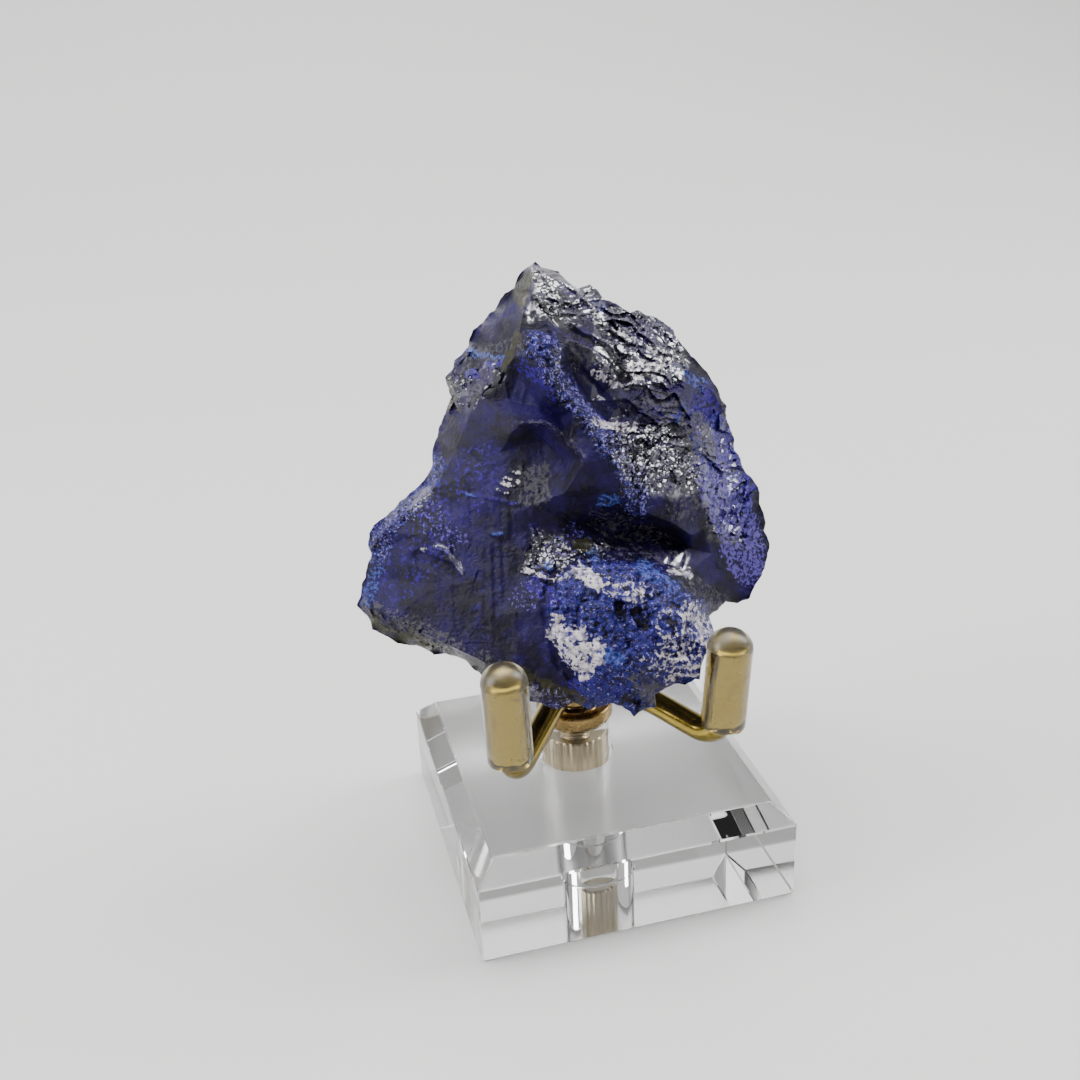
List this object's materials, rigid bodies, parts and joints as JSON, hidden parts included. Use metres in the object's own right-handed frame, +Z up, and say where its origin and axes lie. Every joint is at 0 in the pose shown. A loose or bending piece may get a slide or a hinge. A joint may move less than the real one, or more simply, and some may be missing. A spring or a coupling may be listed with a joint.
{
  "type": "azurite specimen on display stand",
  "caption": "Azurite specimen, a leaning slab of deep blue crystal with white-speckled crust, cradled by brass arms in clear sleeves on a clear acrylic block.",
  "frame": {"origin": "middle of the acrylic block's underside", "axes": "+Z up, X along the block's front edge, the specimen's show face towards -Y"},
  "size_m": [0.0578, 0.0453, 0.0832],
  "materials": {
    "clear_acrylic": "polished clear acrylic",
    "clear_vinyl": "clear soft vinyl, slightly yellowed",
    "stud_brass": "threaded raw brass",
    "turned_brass": "turned, warm gold lacquer",
    "arm_brass": "polished round rod",
    "azurite": "glassy broken crystal with a granular white and blue crust"
  },
  "bodies": {
    "root": {"acrylic_base": "clear_acrylic", "acrylic_pillar": "clear_acrylic", "brass_stud": "stud_brass", "brass_collar": "turned_brass", "brass_hub": "turned_brass", "brass_arm_left": "arm_brass", "brass_arm_right": "arm_brass", "brass_arm_back": "arm_brass", "vinyl_sleeve_left": "clear_vinyl", "vinyl_sleeve_right": "clear_vinyl", "vinyl_sleeve_back": "clear_vinyl", "azurite": "azurite"}
  },
  "joints": []
}
